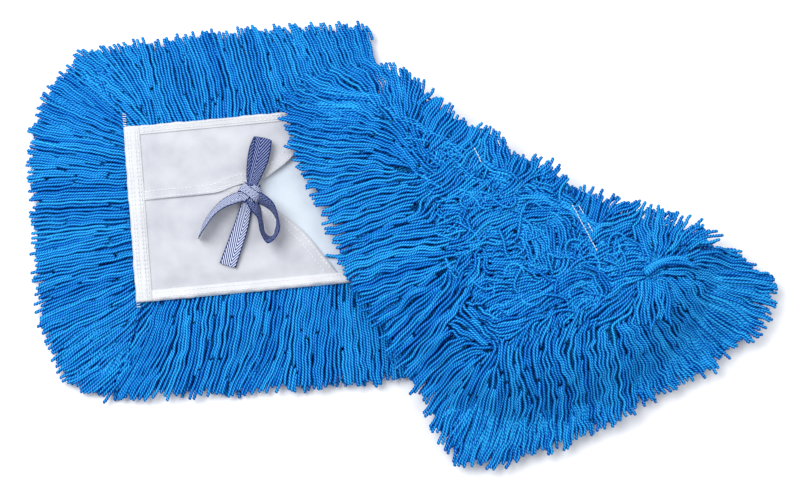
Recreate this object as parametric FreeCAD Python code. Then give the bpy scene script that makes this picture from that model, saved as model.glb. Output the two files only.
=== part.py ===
import FreeCAD, Part
import math
import os
from FreeCAD import Placement, Rotation, Vector

os.makedirs("parts", exist_ok=True)

# The mop head is first laid out flat: u runs along the backing, v across it and z up from the floor.
# The far half is then folded over the near half about a slanting line. All sizes are in millimetres.
BACKING_LENGTH = 390.0
BACKING_WIDTH = 127.0
YARN_TOP = 12.8
CANVAS_BOTTOM = 13.0
CANVAS_TOP = 14.6
FLAP_THICKNESS = 0.8
HEM_THICKNESS = 0.6
HEM_WIDTH = 8.0
LOWER_HEM_BOTTOM = 15.0
LOWER_FLAP_BOTTOM = LOWER_HEM_BOTTOM + HEM_THICKNESS
UPPER_HEM_BOTTOM = LOWER_FLAP_BOTTOM + FLAP_THICKNESS
UPPER_FLAP_BOTTOM = UPPER_HEM_BOTTOM + HEM_THICKNESS
CLOTH_TOP = UPPER_FLAP_BOTTOM + FLAP_THICKNESS
END_HEM_WIDTH = 11.5
TOP_BAND_WIDTH = 6.5
BOTTOM_BAND_WIDTH = 7.6

FOLD_TOP_U = 185.0
FOLD_BOTTOM_U = 363.0
FOLD_AXIS_Z = 19.6
FOLD_GAP = 0.3
YARN_FOLD_GAP = 1.0
REACH = 1000.0

ROW_COUNT = 6
ROW_GAP = 2.0
ROW_ROUNDING = 5.0
ROW_END_GAP = 1.5
ROW_STITCH_WIDTH = 1.2
ROW_STITCH_BOTTOM = 12.0

STITCH_WIDTH = 0.8
STITCH_HEIGHT = 0.3

FRINGE_BAR_DEPTH = 8.0
FRINGE_SEAM_GAP = 0.3
STRAND_BUNDLE_HALF_WIDTH = 2.9
STRAND_BUNDLE_TIP_HALF_WIDTH = 2.2
STRAND_BUNDLE_TIP_TOP = 6.0
STRAND_BUNDLE_ROOT = 4.0
SIDE_FRINGE_DROOP = 10.5
END_FRINGE_DROOP = 16.0

TAPE_WIDTH = 12.5
TAPE_THICKNESS = 0.9
TAPE_BOTTOM = CLOTH_TOP + 0.1
KNOT_SIZE = (12.0, 10.0, 5.0)
KNOT_ROUNDING = 2.0
KNOT_CLEARANCE = 9.2
PRESSED_KNOT_HEIGHT = 2.8
UP = Vector(0, 0, 1)

fold_start = Vector(FOLD_TOP_U, BACKING_WIDTH, 0)
fold_line = Vector(FOLD_BOTTOM_U - FOLD_TOP_U, -BACKING_WIDTH, 0).normalize()
fold_outward = UP.cross(fold_line)
fold_angle = math.degrees(math.atan2(fold_outward.y, fold_outward.x))


def at(point, z):
    return Vector(point[0], point[1], z)


def mirrored(points):
    """The same points at the other end of the backing."""
    return [(BACKING_LENGTH - u, v) for u, v in points]


def slab(u_range, v_range, z_range):
    corner = Vector(u_range[0], v_range[0], z_range[0])
    return Part.makeBox(u_range[1] - u_range[0], v_range[1] - v_range[0], z_range[1] - z_range[0], corner)


def smooth_edge(points, z):
    curve = Part.BSplineCurve()
    curve.interpolate([at(p, z) for p in points])
    return curve.toShape()


def side_of_fold(side, gap):
    """Everything on one side of the fold line: -1 for the near half and 1 for the far half."""
    low = gap if side > 0 else -REACH - gap
    block = Part.makeBox(REACH, 2 * REACH, REACH, Vector(low, -REACH, -REACH / 2))
    block.Placement = Placement(fold_start, Rotation(UP, fold_angle))
    return block


def near_side(shape, gap=FOLD_GAP):
    return shape.common(side_of_fold(-1, gap))


def far_side(shape, gap=FOLD_GAP):
    return shape.common(side_of_fold(1, gap))


def folded_over(shape):
    """Turns a flat far-half shape half a turn about the fold axis, onto the near half."""
    turned = shape.copy()
    turned.rotate(at((FOLD_TOP_U, BACKING_WIDTH), FOLD_AXIS_Z), fold_line, 180)
    return turned


def flap(edge, corner_v, bottom, top):
    """A pocket flap: its free edge is a smooth line, and corner_v is the side that is sewn down."""
    start, end = edge[0], edge[-1]
    corner = (start[0], corner_v)
    sides = [Part.makeLine(at(end, bottom), at(corner, bottom)), Part.makeLine(at(corner, bottom), at(start, bottom))]
    wire = Part.Wire([smooth_edge(edge, bottom)] + sides)
    return Part.Face(wire).extrude(Vector(0, 0, top - bottom))


def shifted_edge(edge, distance):
    """The edge's points moved sideways, to the right of its direction of travel."""
    moved = []
    for i, (u, v) in enumerate(edge):
        before, after = edge[max(i - 1, 0)], edge[min(i + 1, len(edge) - 1)]
        run = Vector(after[0] - before[0], after[1] - before[1], 0).normalize()
        moved.append((u + run.y * distance, v - run.x * distance))
    return moved


def ribbon(path, left, right, bottom, top):
    """A band of cloth along a path, from left of it to right of it, as one flat layer or as a standing wall."""
    near_edge, far_edge = shifted_edge(path, -left), shifted_edge(path, right)
    first, second = smooth_edge(near_edge, bottom), smooth_edge(far_edge, bottom)
    ends = [
        Part.makeLine(at(near_edge[-1], bottom), at(far_edge[-1], bottom)),
        Part.makeLine(at(far_edge[0], bottom), at(near_edge[0], bottom)),
    ]
    return Part.Face(Part.Wire([first, ends[0], second, ends[1]])).extrude(Vector(0, 0, top - bottom))


def hem(edge, corner_v, inward, bottom):
    """The doubled border along a flap's free edge, kept inside the flap's outline."""
    band = ribbon(edge, HEM_WIDTH if inward < 0 else 0, HEM_WIDTH if inward > 0 else 0, bottom, bottom + HEM_THICKNESS)
    return band.common(flap(edge, corner_v, bottom - 1, bottom + HEM_THICKNESS + 1))


def yarn_row(v_low, v_high):
    """One sewn row of face yarn, with rounded lower edges and a flat underside."""
    outline = slab((ROW_END_GAP, BACKING_LENGTH - ROW_END_GAP), (v_low, v_high), (0, YARN_TOP))
    lower_edges = [
        e for e in outline.Edges if e.BoundBox.ZMax < 0.1 and e.BoundBox.XLength > BACKING_LENGTH / 2
    ]
    return outline.makeFillet(ROW_ROUNDING, lower_edges)


def along(points, share):
    """The point at a share of the length of a line through points."""
    lengths = [math.dist(a, b) for a, b in zip(points, points[1:])]
    left = share * sum(lengths)
    for a, b, length in zip(points, points[1:], lengths):
        if left <= length:
            part = left / length
            return (a[0] + (b[0] - a[0]) * part, a[1] + (b[1] - a[1]) * part)
        left -= length
    return points[-1]


def cross_section(middle, side, half_width, bottom, top):
    corners = [
        at(middle, bottom) - side * half_width,
        at(middle, bottom) + side * half_width,
        at(middle, top) + side * half_width,
        at(middle, top) - side * half_width,
    ]
    return Part.makePolygon(corners + corners[:1])


def fringe(base, tips, bundles):
    """Bundles of cut yarn sewn along one edge: base is the seam's two ends, and tips the line their ends reach."""
    seam = Vector(base[1][0] - base[0][0], base[1][1] - base[0][1], 0).normalize()
    outward = seam.cross(UP)
    if (Vector(tips[0][0] - base[0][0], tips[0][1] - base[0][1], 0)).dot(outward) < 0:
        outward = outward * -1
    first, last = at(base[0], 0) + outward * FRINGE_SEAM_GAP, at(base[1], 0) + outward * FRINGE_SEAM_GAP
    depth = outward * FRINGE_BAR_DEPTH
    bar = Part.Face(Part.makePolygon([first, last, last + depth, first + depth, first]))
    solid = bar.extrude(Vector(0, 0, YARN_TOP))
    fingers = []
    for i in range(bundles):
        share = (i + 0.5) / bundles
        root = along(base, share)
        root = (root[0] + outward.x * STRAND_BUNDLE_ROOT, root[1] + outward.y * STRAND_BUNDLE_ROOT)
        tip = along(tips, share)
        side = Vector(tip[0] - root[0], tip[1] - root[1], 0).normalize().cross(UP)
        sections = [
            cross_section(root, side, STRAND_BUNDLE_HALF_WIDTH, 0, YARN_TOP),
            cross_section(tip, side, STRAND_BUNDLE_TIP_HALF_WIDTH, 0, STRAND_BUNDLE_TIP_TOP),
        ]
        fingers.append(Part.makeLoft(sections, True, True))
    return solid.multiFuse(fingers).removeSplitter()


def drooping(shape, base, droop):
    """Turns a flat fringe about its own seam, so that it hangs once the far half is folded over."""
    seam = Vector(base[1][0] - base[0][0], base[1][1] - base[0][1], 0).normalize()
    turned = shape.copy()
    turned.rotate(at(base[0], CANVAS_BOTTOM), seam, droop)
    return turned


def tie_knot(middle, height):
    length, width, _ = KNOT_SIZE
    block = Part.makeBox(length, width, height, Vector(-length / 2, -width / 2, 0))
    block = block.makeFillet(min(KNOT_ROUNDING, height * 0.4), block.Edges)
    block.translate(at(middle, TAPE_BOTTOM))
    return block


def placed_on_tie(shape, middle, angle):
    """Moves a piece drawn along +u from the knot's middle to its own direction."""
    shape.rotate(Vector(0, 0, 0), UP, angle)
    shape.translate(at(middle, 0))
    return shape


def flat_loop(middle, angle, length, height):
    """A bow loop that lies down: the tape runs out, turns back on itself and returns above."""
    outer_radius = height / 2
    centre_z = TAPE_BOTTOM + outer_radius

    def outline(radius):
        start, end = KNOT_CLEARANCE + outer_radius, length - outer_radius
        left, right = Vector(start, 0, centre_z), Vector(end, 0, centre_z)
        rise = Vector(0, 0, radius)
        turn = Vector(radius, 0, 0)
        return Part.Face(
            Part.Wire(
                [
                    Part.makeLine(left - rise, right - rise),
                    Part.Arc(right - rise, right + turn, right + rise).toShape(),
                    Part.makeLine(right + rise, left + rise),
                    Part.Arc(left + rise, left - turn, left - rise).toShape(),
                ]
            )
        )

    ring = outline(outer_radius).cut(outline(outer_radius - TAPE_THICKNESS))
    ring.translate(Vector(0, -TAPE_WIDTH / 2, 0))
    return placed_on_tie(ring.extrude(Vector(0, TAPE_WIDTH, 0)), middle, angle)


def flat_tail(middle, angle, length):
    """A free tape end lying flat, gathered where it leaves the knot and cut square."""
    gathered, full = TAPE_WIDTH * 0.32, TAPE_WIDTH / 2
    spread = KNOT_CLEARANCE + TAPE_WIDTH
    outline = [
        Vector(KNOT_CLEARANCE, -gathered, TAPE_BOTTOM),
        Vector(spread, -full, TAPE_BOTTOM),
        Vector(length, -full, TAPE_BOTTOM),
        Vector(length, full, TAPE_BOTTOM),
        Vector(spread, full, TAPE_BOTTOM),
        Vector(KNOT_CLEARANCE, gathered, TAPE_BOTTOM),
    ]
    tail = Part.Face(Part.makePolygon(outline + outline[:1])).extrude(Vector(0, 0, TAPE_THICKNESS))
    return placed_on_tie(tail, middle, angle)


def standing_tape(path):
    """Tape that stands on its edge along a path."""
    return ribbon(path, TAPE_THICKNESS / 2, TAPE_THICKNESS / 2, TAPE_BOTTOM, TAPE_BOTTOM + TAPE_WIDTH)


def stitch_line(u_range, v_range):
    return slab(u_range, v_range, (CLOTH_TOP, CLOTH_TOP + STITCH_HEIGHT))


near = {}
far = {}
far_fringes = {}
width, length = BACKING_WIDTH, BACKING_LENGTH
layers = (CANVAS_TOP, CLOTH_TOP)
band_u = (END_HEM_WIDTH, length - END_HEM_WIDTH)

# Canvas backing, end hems and edge bindings.
backing = slab((0, length), (0, width), (CANVAS_BOTTOM, CANVAS_TOP))
near["near_backing"], far["far_backing"] = near_side(backing), far_side(backing)
near["near_end_hem"] = slab((0, END_HEM_WIDTH), (0, width), layers)
far["far_end_hem"] = slab((length - END_HEM_WIDTH, length), (0, width), layers)
top_band = slab(band_u, (width - TOP_BAND_WIDTH, width), layers)
bottom_band = slab(band_u, (0, BOTTOM_BAND_WIDTH), layers)
near["near_top_band"], far["far_top_band"] = near_side(top_band), far_side(top_band)
near["near_bottom_band"], far["far_bottom_band"] = near_side(bottom_band), far_side(bottom_band)

# The canvas turns half round the fold axis between its two halves.
bend_outer = Part.makeCylinder(FOLD_AXIS_Z - CANVAS_BOTTOM, REACH, Vector(0, 0, 0), fold_line)
bend_inner = Part.makeCylinder(FOLD_AXIS_Z - CANVAS_TOP, REACH, Vector(0, 0, 0), fold_line)
bend = bend_outer.cut(bend_inner)
bend.translate(at((FOLD_TOP_U, BACKING_WIDTH), FOLD_AXIS_Z))
fold_length = math.hypot(FOLD_BOTTOM_U - FOLD_TOP_U, BACKING_WIDTH)
bend = bend.common(side_of_fold(1, 0))
bend_limit = Part.makeBox(REACH, fold_length, REACH, Vector(-REACH / 2, -fold_length, -REACH / 2))
bend_limit.Placement = Placement(fold_start, Rotation(UP, fold_angle))
near["fold_bend"] = bend.common(bend_limit)

# Pocket flaps. The lower flap lies under the upper one, and their free edges part towards the middle.
upper_v, lower_v = width - TOP_BAND_WIDTH, BOTTOM_BAND_WIDTH
upper_edge = [(END_HEM_WIDTH, 72), (58, 72), (78, 77), (93, 78), (105, 84), (120, 95), (143, upper_v)]
lower_edge = [(END_HEM_WIDTH, 80), (60, 81), (80, 77), (96, 64), (112, 49), (124, 36), (135, 19), (143, lower_v)]
for name, edge, corner_v, flap_bottom, hem_bottom, inward in (
    ("upper", upper_edge, upper_v, UPPER_FLAP_BOTTOM, UPPER_HEM_BOTTOM, -1),
    ("lower", lower_edge, lower_v, LOWER_FLAP_BOTTOM, LOWER_HEM_BOTTOM, 1),
):
    near[f"near_{name}_flap"] = flap(edge, corner_v, flap_bottom, flap_bottom + FLAP_THICKNESS)
    near[f"near_{name}_flap_hem"] = hem(edge, corner_v, inward, hem_bottom)
    far_edge = mirrored(edge)
    far_flap = flap(far_edge, corner_v, flap_bottom, flap_bottom + FLAP_THICKNESS)
    far_hem = hem(far_edge, corner_v, -inward, hem_bottom)
    far[f"far_{name}_flap"] = far_side(far_flap)
    far[f"far_{name}_flap_hem"] = far_side(far_hem)
    if name == "lower":
        near["fold_flap"] = near_side(far_flap)
        near["fold_flap_hem"] = near_side(far_hem)

# Ties. The near bow is loose, and the far one is pressed flat between the two halves.
near_knot = (85, 69)
near["near_tie_knot"] = tie_knot(near_knot, KNOT_SIZE[2])
near["near_tie_upper_loop"] = flat_loop(near_knot, 72, 43, 6)
near["near_tie_lower_tail"] = flat_tail(near_knot, 249, 54)
near["near_tie_left_tail"] = standing_tape([(75.5, 65), (66, 62), (56, 53), (48, 40)])
near["near_tie_right_loop"] = standing_tape(
    [(88, 59.5), (87, 47), (91, 36), (97, 34.5), (101, 43), (99, 55), (93.5, 62)]
)
far_knot = (305, 69)
far["far_tie_knot"] = tie_knot(far_knot, PRESSED_KNOT_HEIGHT)
far["far_tie_first_loop"] = flat_loop(far_knot, 128, 40, PRESSED_KNOT_HEIGHT)
far["far_tie_second_loop"] = flat_loop(far_knot, -38, 40, PRESSED_KNOT_HEIGHT)
far["far_tie_first_tail"] = flat_tail(far_knot, 73, 42)
far["far_tie_second_tail"] = flat_tail(far_knot, 17, 48)

# Face yarn, in sewn rows under the backing.
pitch = width / ROW_COUNT
for row in range(ROW_COUNT):
    whole = yarn_row(row * pitch + ROW_GAP / 2, (row + 1) * pitch - ROW_GAP / 2)
    near[f"near_yarn_row_{row + 1}"] = near_side(whole, YARN_FOLD_GAP)
    far[f"far_yarn_row_{row + 1}"] = far_side(whole, YARN_FOLD_GAP)
for number, row in ((1, 1), (2, 3)):
    middle = (row + 1) * pitch
    seam = slab(
        (0, length), (middle - ROW_STITCH_WIDTH / 2, middle + ROW_STITCH_WIDTH / 2), (ROW_STITCH_BOTTOM, CANVAS_BOTTOM)
    )
    far[f"far_row_stitch_{number}"] = far_side(seam, YARN_FOLD_GAP)

# Fringe, cut yarn all round.
near["near_end_fringe"] = fringe(
    [(0, 0), (0, width)], [(-25, -62), (-52, -48), (-68, -14), (-69, 60), (-66, 130), (-50, 162), (-24, 185)], 20
)
near["near_top_fringe"] = fringe([(0, width), (183, width)], [(-2, 187), (63, 190), (134, 189), (181, 185)], 28)
near["near_bottom_fringe"] = fringe([(0, 0), (361, 0)], [(-2, -66), (71, -65), (192, -68), (358, -66)], 54)
for name, base, tips, bundles, droop in (
    (
        "far_side_fringe",
        [(188, width), (length, width)],
        [(190, 193), (252, 198), (282, 200), (331, 196), (376, 190)],
        30,
        SIDE_FRINGE_DROOP,
    ),
    (
        "far_end_fringe",
        [(length, width), (length, 0)],
        [(412, 186), (432, 181), (449, 158), (462, 125), (460, 53), (459, 7), (448, -30)],
        20,
        END_FRINGE_DROOP,
    ),
    (
        "far_tip_fringe",
        [(length, 0), (367, 0)],
        [(437, -52), (430, -66), (420, -70), (400, -65), (375, -52)],
        6,
        END_FRINGE_DROOP,
    ),
):
    far_fringes[name] = drooping(fringe(base, tips, bundles), base, droop)

# Stitching on the hems and bindings, and one loose cut strand on the canvas.
stitch_ends = (3, width - 3)
near["near_end_hem_stitch_outer"] = stitch_line((3.2, 3.2 + STITCH_WIDTH), stitch_ends)
near["near_end_hem_stitch_inner"] = stitch_line((8.4, 8.4 + STITCH_WIDTH), stitch_ends)
far["far_end_hem_stitch"] = stitch_line((length - 4, length - 4 + STITCH_WIDTH), stitch_ends)
band_stitch_u = (END_HEM_WIDTH + 2, length / 2)
near["near_top_band_stitch"] = near_side(stitch_line(band_stitch_u, (width - 3, width - 3 + STITCH_WIDTH)), 2)
near["near_bottom_band_stitch"] = near_side(stitch_line((END_HEM_WIDTH + 2, length), (3, 3 + STITCH_WIDTH)), 2)
strand_path = smooth_edge([(137, 21), (143, 19), (151, 20)], CANVAS_TOP + 1.3)
strand_end = Part.Wire([Part.makeCircle(1.2, at((137, 21), CANVAS_TOP + 1.3), strand_path.tangentAt(0))])
near["near_loose_strand"] = Part.Wire([strand_path]).makePipeShell([strand_end], True, False)

solids = dict(near)
for name, shape in {**far, **far_fringes}.items():
    solids[name] = folded_over(shape)

# The origin is the middle of the whole head's box, on the floor.
low = Vector(*(min(getattr(s.BoundBox, k) for s in solids.values()) for k in ("XMin", "YMin", "ZMin")))
high = Vector(*(max(getattr(s.BoundBox, k) for s in solids.values()) for k in ("XMax", "YMax", "ZMax")))
for name, shape in solids.items():
    solid = shape.Solids[0]
    solid.translate(Vector(-(low.x + high.x) / 2, -(low.y + high.y) / 2, -low.z))
    solid.exportStep(f"parts/{name}.step")
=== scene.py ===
import math

import bpy
import numpy as np
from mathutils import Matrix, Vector


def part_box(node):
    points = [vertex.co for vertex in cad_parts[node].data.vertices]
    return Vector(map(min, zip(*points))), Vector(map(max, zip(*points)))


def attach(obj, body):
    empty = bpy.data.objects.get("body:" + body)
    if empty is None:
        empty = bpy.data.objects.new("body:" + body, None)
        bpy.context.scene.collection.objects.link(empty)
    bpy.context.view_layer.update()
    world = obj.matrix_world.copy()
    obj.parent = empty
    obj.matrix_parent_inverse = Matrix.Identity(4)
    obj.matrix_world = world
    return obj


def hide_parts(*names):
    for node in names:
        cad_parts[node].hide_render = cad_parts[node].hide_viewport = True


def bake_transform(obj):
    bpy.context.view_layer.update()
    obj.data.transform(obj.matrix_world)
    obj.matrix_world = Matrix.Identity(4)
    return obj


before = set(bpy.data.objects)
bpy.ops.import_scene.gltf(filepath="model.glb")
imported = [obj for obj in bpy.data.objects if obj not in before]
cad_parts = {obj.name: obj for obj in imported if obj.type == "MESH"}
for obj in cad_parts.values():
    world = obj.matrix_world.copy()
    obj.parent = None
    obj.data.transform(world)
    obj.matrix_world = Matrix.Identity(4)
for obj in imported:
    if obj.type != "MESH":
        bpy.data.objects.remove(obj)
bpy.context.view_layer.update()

# The mop head is laid out flat, as it was cut: u runs along the backing, v across it and z up, in
# millimetres. The far half is folded over the near half about a slanting line.
BACKING_LENGTH = 390.0
BACKING_WIDTH = 127.0
CANVAS_BOTTOM = 13.0
CANVAS_TOP = 14.6
CLOTH_TOP = 17.8  # top of the near flaps, where the ties rest
FLAP_THICKNESS = 0.8
HEM_THICKNESS = 0.6
HEM_WIDTH = 8.0
HEM_SEAMS = (1.9, 6.6)
STITCH_PITCH = 2.9
END_HEM_WIDTH = 11.5
TOP_BAND_WIDTH = 6.5
BOTTOM_BAND_WIDTH = 7.6
ROW_COUNT = 6
ROW_PITCH = BACKING_WIDTH / ROW_COUNT

# How finely the cloth is divided: points across and along.
CANVAS_GRID = (44, 66)
BEND_STEPS = 12
FLAP_GRID = (60, 90)
EDGE_SAMPLES = 120
BAND_STEP = 1.5
BAND_COLUMNS = 13
TAPE_COLUMNS = 13
KNOT_GRID = (26, 9)

# A folded band is rounded at its outer edge, and falls towards its inner one.
BAND_RISE = 2.0
BAND_ROUNDING = 1.5
BAND_SLOPE = 4.5

# The fold crosses the backing from FOLD_TOP_U at its top edge to FOLD_BOTTOM_U at its bottom edge.
FOLD_TOP_U = 185.0
FOLD_BOTTOM_U = 363.0
FOLD_AXIS_Z = 19.6
FOLD_FLAP_TOP = 55.0  # v where the far lower flap's free edge crosses the fold

# Yarn: a strand's rings bulge in turn by PLY_BULGE, and are FINE_STEP or COARSE_STEP apart.
STRAND_RADIUS = 1.1
STRAND_SIDES = 6
FINE_STEP = 0.95
COARSE_STEP = 1.3
PLY_BULGE = 0.24
CUT_END_GIRTH = 0.72
# Grooves are painted darker than crests by this share, as painted shade between the plies.
PAINTED_CREST_SHARE = 0.6

# Combed strands gather in locks; the next strand starts a new one with LOCK_CHANCE. Loose ones curl.
LOCK_CHANCE = 0.3
COMB_POINTS = 30
CURL_POINTS = 22
CURL_LENGTH = (14, 26)
CURL_RADIUS = (7, 16)

# Streams, which are strands laid along combing directions: the step along a strand, the fewest points it
# may have, the number of places tried for one, and the cells of the grids of directions and of taken room.
# The rooms are the grids' lowest and highest u and v.
STREAM_STEP = 1.5
SHORTEST_STREAM = 8
LONGEST_SIDE_STRAND = 95
STREAM_TRIES = 9000
GUIDE_STEP = 7
GROUND_CELL = 2.0
TAKEN_CELL = 0.5
NEAR_ROOM = ((-84, -84), (376, 208))
FAR_ROOM = ((96, -156), (472, 176))

# Heights of the near fringes' upper surface at the canvas's edge and at their tips.
NEAR_EDGE_Z = 12.3
NEAR_TIP_Z = 6.3

# Heights on the far half as it lies folded over, and how far its fringes' bend reaches from their seam.
SEAM_Z = 28.0
SEAM_BEND = 14.0
FACE_TOP = 36.4
FOLD_TIP_Z = 30.5
FRINGE_LIFT = 4.4  # from the combed strands' tips to the fringe's upper surface
ROW_STITCH_Z = 39.3

TAPE_THICKNESS = 0.9
TAPE_PITCH = 2.8
TAPE_SPINE = 0.28  # share of the half width, off the middle
TAPE_EDGE = 0.88
KNOT = np.array([86.5, 69.5])
FAR_KNOT = np.array([305, 69])

# The free edges of the pocket's two flaps.
UPPER_EDGE = [(END_HEM_WIDTH, 72), (58, 72), (78, 77), (93, 78), (105, 84), (120, 95), (143, 120.5)]
LOWER_EDGE = [(END_HEM_WIDTH, 80), (60, 81), (80, 77), (96, 64), (112, 49), (124, 36), (135, 19)]
LOWER_EDGE += [(143, BOTTOM_BAND_WIDTH)]

backing_low = np.array(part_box("near_backing")[0]) * 1000
flat_origin = backing_low - (0, 0, CANVAS_BOTTOM)

fold_start = np.array([FOLD_TOP_U, BACKING_WIDTH, FOLD_AXIS_Z])
fold_line = np.array([FOLD_BOTTOM_U - FOLD_TOP_U, -BACKING_WIDTH, 0.0])
fold_line /= np.linalg.norm(fold_line)
fold_outward = np.array([-fold_line[1], fold_line[0], 0.0])


def to_frame(points):
    """Flat millimetres to the frame's metres."""
    return (np.asarray(points, float) + flat_origin) / 1000


def folded_over(points):
    """Turns points of the flat far half by half a turn about the fold axis, onto the near half."""
    arm = np.asarray(points, float) - fold_start
    return fold_start + 2 * (arm @ fold_line)[..., None] * fold_line - arm


# Between these two heights a piece passes from the near half to the far half.
half_bend = np.array([0, 0, FOLD_AXIS_Z - CANVAS_TOP - 0.9])
FOLD_BLEND = ("near_half", "far_half", fold_start - half_bend, fold_start + half_bend)


def unit(vectors):
    """Vectors of length one, with the same directions."""
    return vectors / np.maximum(np.linalg.norm(vectors, axis=-1, keepdims=True), 1e-9)


def smooth_path(points, count):
    """count points at even steps along a smooth curve through a few points."""
    points = np.asarray(points, float)
    padded = np.concatenate([[2 * points[0] - points[1]], points, [2 * points[-1] - points[-2]]])
    dense = []
    for a, b, c, d in zip(padded, padded[1:], padded[2:], padded[3:]):
        for t in np.linspace(0, 1, 16, endpoint=False):
            cubic = t * (3 * (b - c) + d - a)
            dense.append(b + 0.5 * t * (c - a + t * (2 * a - 5 * b + 4 * c - d + cubic)))
    dense.append(points[-1])
    return spaced(np.array(dense), np.linspace(0, 1, count))


def distances(path):
    """How far along a path each of its points lies."""
    return np.concatenate([[0], np.cumsum(np.linalg.norm(np.diff(path, axis=0), axis=1))])


def spaced(path, shares):
    """The points at given shares of a path's length."""
    along = distances(path)
    wanted = np.asarray(shares) * along[-1]
    return np.stack([np.interp(wanted, along, values) for values in path.T], -1)


# ---------------------------------------------------------------- pieces


def make_mesh(name, points, faces, values):
    """A mesh from flat millimetres. faces are arrays of equal-sided faces, values are kept at the points."""
    corners = np.concatenate([f.ravel() for f in faces])
    sizes = np.concatenate([np.full(len(f), f.shape[1]) for f in faces])
    starts = np.concatenate([[0], np.cumsum(sizes)[:-1]])
    mesh = bpy.data.meshes.new(name)
    mesh.vertices.add(len(points))
    mesh.vertices.foreach_set("co", to_frame(points).ravel().astype(np.float32))
    mesh.loops.add(len(corners))
    mesh.loops.foreach_set("vertex_index", corners.astype(np.int32))
    mesh.polygons.add(len(sizes))
    mesh.polygons.foreach_set("loop_start", starts.astype(np.int32))
    mesh.polygons.foreach_set("use_smooth", np.ones(len(sizes), bool))
    for key, data in values.items():
        attribute = mesh.attributes.new(key, "FLOAT", "POINT")
        attribute.data.foreach_set("value", np.asarray(data, np.float32).ravel())
    mesh.update(calc_edges=True)
    mesh.validate()
    return mesh


def add_piece(name, points, faces, material, slot, body, nodes=(), **values):
    """A piece of the visual model. body is a name it is attached to, or two names and two points, and then
    the piece is only baked in place.
    """
    obj = bpy.data.objects.new(name, make_mesh(name, points, faces, values))
    bpy.context.collection.objects.link(obj)
    obj.data.materials.append(material)
    if isinstance(body, tuple):
        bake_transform(obj)
    else:
        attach(obj, body)
    if nodes:
        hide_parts(*nodes)
    return obj


def grid_faces(rows, columns, start=0):
    """The four-cornered faces of a grid whose points are numbered from start."""
    index = start + np.arange(rows * columns).reshape(rows, columns)
    return np.stack([index[:-1, :-1], index[1:, :-1], index[1:, 1:], index[:-1, 1:]], -1).reshape(-1, 4)


def closed_cloth(top, bottom):
    """Points and faces of a layer of cloth: its two surfaces, both grids, and a rim round its edges."""
    rows, columns = top.shape[:2]
    count = rows * columns
    index = np.arange(count).reshape(rows, columns)
    border = np.concatenate([index[0, :-1], index[:-1, -1], index[-1, :0:-1], index[:0:-1, 0]])
    following = np.roll(border, -1)
    rim = np.stack([border, following, following + count, border + count], -1)
    faces = np.concatenate([grid_faces(rows, columns), grid_faces(rows, columns, count)[:, ::-1], rim])
    points = np.concatenate([top.reshape(-1, 3), bottom.reshape(-1, 3)])
    return points, faces


def ripple(u, v, seed, size=1.0):
    """Gentle waves in cloth, from a few long waves of different directions."""
    rng = np.random.default_rng(seed)
    height = np.zeros_like(u)
    for _ in range(6):
        length, turn, phase = rng.uniform(28, 75), rng.uniform(0, np.pi), rng.uniform(0, 2 * np.pi)
        height += np.sin(2 * np.pi * (u * np.cos(turn) + v * np.sin(turn)) / length + phase) / 6
    return height * size


# ---------------------------------------------------------------- materials


class Nodes:
    """Short ways to add and join the nodes of one material."""

    def __init__(self, name, **finish):
        self.material = bpy.data.materials.new(name)
        self.material.use_nodes = True
        self.tree = self.material.node_tree
        self.shader = self.tree.nodes["Principled BSDF"]
        for socket, value in finish.items():
            self.shader.inputs[socket.replace("_", " ")].default_value = value

    def add(self, kind, properties=(), **inputs):
        node = self.tree.nodes.new(kind)
        for key, value in dict(properties).items():
            setattr(node, key, value)
        for key, value in inputs.items():
            self.put(value, node.inputs[key])
        return node

    def put(self, value, socket):
        if isinstance(value, bpy.types.NodeSocket):
            self.tree.links.new(value, socket)
        else:
            socket.default_value = value

    def math(self, operation, *values):
        node = self.add("ShaderNodeMath", {"operation": operation})
        for socket, value in zip(node.inputs, values):
            self.put(value, socket)
        return node.outputs[0]

    def value(self, name):
        return self.add("ShaderNodeAttribute", {"attribute_name": name}).outputs["Fac"]

    def place(self):
        return self.add("ShaderNodeTexCoord").outputs["Object"]

    def noise(self, scale, detail=2.0):
        node = self.add("ShaderNodeTexNoise", Vector=self.place(), Scale=scale, Detail=detail)
        return node.outputs["Fac"]

    def ramp(self, factor, *stops):
        node = self.add("ShaderNodeValToRGB", Fac=factor)
        elements = node.color_ramp.elements
        while len(elements) < len(stops):
            elements.new(0.5)
        for element, (position, colour) in zip(elements, stops):
            element.position = position
            element.color = (*colour, 1)
        return node.outputs["Color"]

    def bump(self, height, strength, distance):
        node = self.add("ShaderNodeBump", Height=height, Strength=strength, Distance=distance)
        self.tree.links.new(node.outputs["Normal"], self.shader.inputs["Normal"])

    def colour(self, socket):
        self.tree.links.new(socket, self.shader.inputs["Base Color"])


def yarn_material(name, deep, middle, bright):
    """Plied cut yarn: the crests of the plies and the strands' tops are painted bright as highlights, and
    the grooves between them and the strands' sides painted deep as shade.
    """
    n = Nodes(name, Roughness=0.75, Specular_IOR_Level=0.05)
    # The strands' painted light and shade, with each strand's own tone and a fine noise, picks the colour
    # from the ramp.
    crest = n.math("MULTIPLY", n.value("painted_light"), 0.66)
    tone = n.math("MULTIPLY_ADD", n.value("tone"), 0.2, crest)
    painted_shade_and_tone = n.math("MULTIPLY_ADD", n.noise(900, 3), 0.3, tone)
    n.colour(n.ramp(painted_shade_and_tone, (0.2, deep), (0.5, middle), (0.95, bright)))
    n.bump(n.noise(2600, 2), 0.35, 0.0002)
    return n.material


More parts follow.
